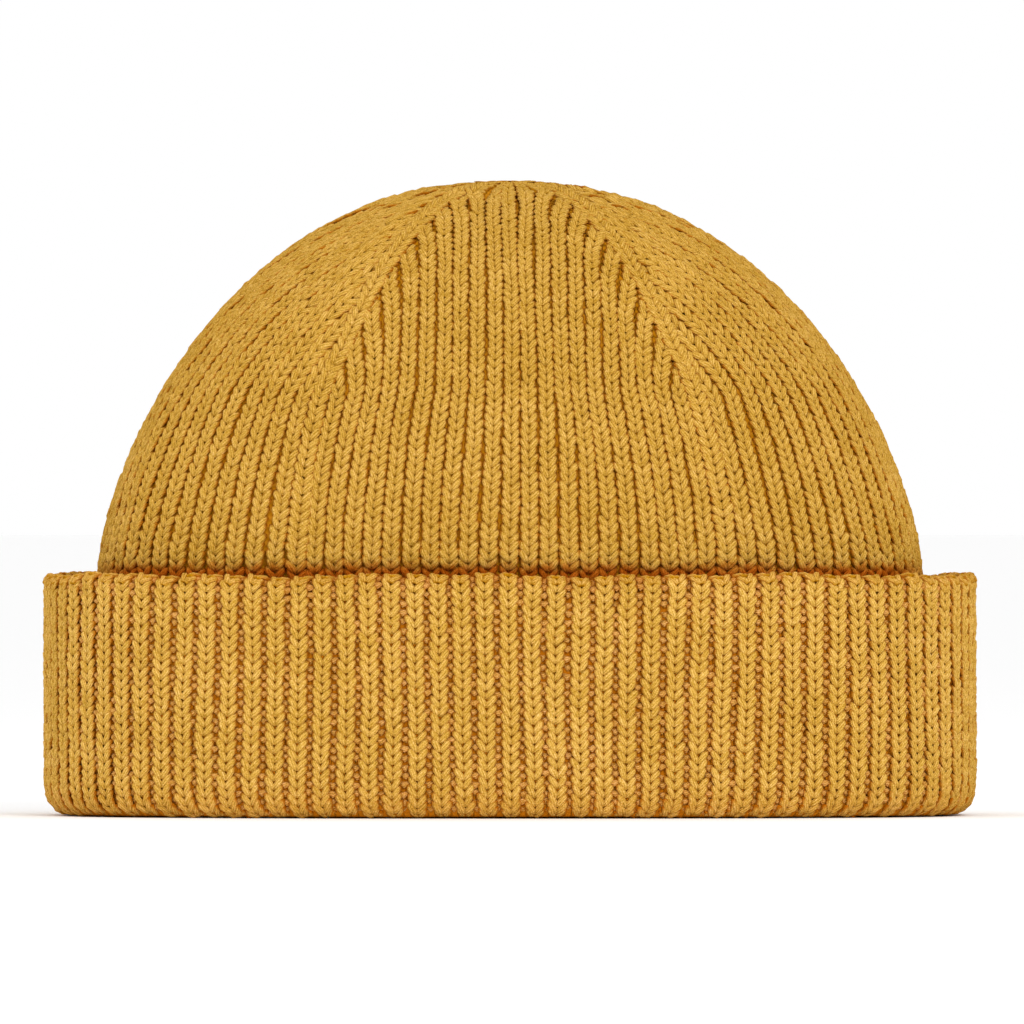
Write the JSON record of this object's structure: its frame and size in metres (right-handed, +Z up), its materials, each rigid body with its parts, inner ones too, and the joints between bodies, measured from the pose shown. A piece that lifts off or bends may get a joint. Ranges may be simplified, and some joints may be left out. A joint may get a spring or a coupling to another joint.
{
  "type": "fisherman beanie",
  "caption": "Chunky one-by-one rib knit hat with a shallow domed crown, four mitred decrease lines and a deep turned-up cuff, standing open on its fold.",
  "frame": {"origin": "middle of the head opening, on the surface that the folded edge stands on", "axes": "+X along the wide way of the hat, to the right of someone who looks at its front, -Y out of the front, +Z up through the crown"},
  "size_m": [0.224, 0.124, 0.152],
  "materials": {
    "crown_knit": "mustard chunky yarn, matte, in one-by-one rib",
    "cuff_knit": "mustard chunky yarn, matte, in one-by-one rib"
  },
  "bodies": {
    "root": {"crown": "crown_knit", "cuff": "cuff_knit"}
  },
  "joints": []
}
